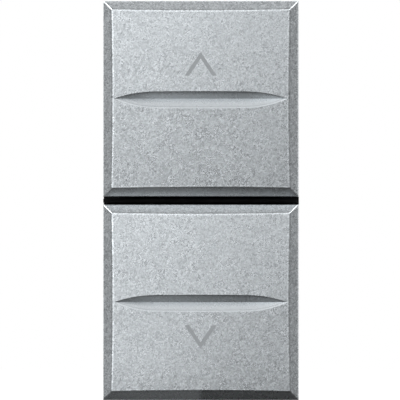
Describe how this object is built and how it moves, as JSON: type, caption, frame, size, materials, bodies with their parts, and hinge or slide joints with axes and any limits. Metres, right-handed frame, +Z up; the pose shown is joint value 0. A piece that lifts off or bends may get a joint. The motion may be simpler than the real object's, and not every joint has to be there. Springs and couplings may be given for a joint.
{
  "type": "roller shutter switch",
  "caption": "Narrow roller shutter push switch with an upper and a lower rocking key, finger slots and direction arrows, built to snap into a modular wall frame.",
  "frame": {"origin": "centre of the flange's rear face, in the plane that seats on the support frame", "axes": "+X to the right as seen from the room, +Y back into the wall, +Z up towards the up key; the keys face -Y"},
  "size_m": [0.022, 0.0323, 0.045],
  "materials": {
    "key_paint": "fine silver metallic paint, satin",
    "arrow_print": "matt grey paint",
    "black_plastic": "black, fine matt texture",
    "grey_plastic": "light grey, fine matt texture",
    "plunger_plastic": "natural white, smooth",
    "spring_steel": "drawn wire, bright",
    "pin_steel": "ground, bright",
    "contact_brass": "pressed strip, slightly dull",
    "contact_silver": "silver rivet, polished",
    "terminal_brass": "drawn bar, satin",
    "screw_steel": "zinc plated"
  },
  "bodies": {
    "housing": {"front_housing": "black_plastic", "base_housing": "grey_plastic", "rear_cover": "grey_plastic", "upper_return_spring": "spring_steel", "lower_return_spring": "spring_steel", "upper_lever_pin": "pin_steel", "lower_lever_pin": "pin_steel", "upper_lever_spring": "spring_steel", "lower_lever_spring": "spring_steel", "line_strip": "contact_brass", "link_strip": "contact_brass", "up_strip": "contact_brass", "down_strip": "contact_brass", "link_contact": "contact_silver", "up_contact": "contact_silver", "down_contact": "contact_silver", "line_terminal": "terminal_brass", "up_terminal": "terminal_brass", "down_terminal": "terminal_brass", "line_terminal_screw": "screw_steel", "up_terminal_screw": "screw_steel", "down_terminal_screw": "screw_steel", "upper_cover_screw": "screw_steel", "lower_cover_screw": "screw_steel"},
    "upper_key": {"upper_key": "key_paint", "up_arrow": "arrow_print", "upper_carrier": "black_plastic"},
    "lower_key": {"lower_key": "key_paint", "down_arrow": "arrow_print", "lower_carrier": "black_plastic"},
    "upper_plunger": {"upper_plunger": "plunger_plastic"},
    "upper_lever": {"upper_contact_lever": "contact_brass", "upper_moving_contact": "contact_silver"},
    "lower_plunger": {"lower_plunger": "plunger_plastic"},
    "lower_lever": {"lower_contact_lever": "contact_brass", "lower_moving_contact": "contact_silver"}
  },
  "joints": [
    {"name": "upper_key_rock", "type": "hinge", "parent": "housing", "child": "upper_key", "pos_m": [0, -0.0046, 0.0042], "axis": [-1, 0, 0], "range_deg": [0, 5], "stiffness_Nm_per_rad": 0.18, "springref_deg": -8.02},
    {"name": "upper_plunger_slide", "type": "slide", "parent": "housing", "child": "upper_plunger", "axis": [0, 1, 0], "range_m": [0, 0.000767], "deforming": ["upper_return_spring"]},
    {"name": "upper_lever_rock", "type": "hinge", "parent": "housing", "child": "upper_lever", "pos_m": [0, 0.009, 0.0055], "axis": [-1, 0, 0], "range_deg": [0, 5.87], "deforming": ["upper_lever_spring"]},
    {"name": "lower_key_rock", "type": "hinge", "parent": "housing", "child": "lower_key", "pos_m": [0, -0.0046, -0.0042], "axis": [1, 0, 0], "range_deg": [0, 5], "stiffness_Nm_per_rad": 0.18, "springref_deg": -8.02},
    {"name": "lower_plunger_slide", "type": "slide", "parent": "housing", "child": "lower_plunger", "axis": [0, 1, 0], "range_m": [0, 0.000767], "deforming": ["lower_return_spring"]},
    {"name": "lower_lever_rock", "type": "hinge", "parent": "housing", "child": "lower_lever", "pos_m": [0, 0.009, -0.0055], "axis": [1, 0, 0], "range_deg": [0, 5.87], "deforming": ["lower_lever_spring"]}
  ],
  "couplings": [
    {"joint": "upper_plunger_slide", "follows": "upper_key_rock", "m_per_rad": 0.0087888},
    {"joint": "upper_lever_rock", "follows": "upper_key_rock", "ratio": 1.1739},
    {"joint": "lower_plunger_slide", "follows": "lower_key_rock", "m_per_rad": 0.0087888},
    {"joint": "lower_lever_rock", "follows": "lower_key_rock", "ratio": 1.1739}
  ]
}
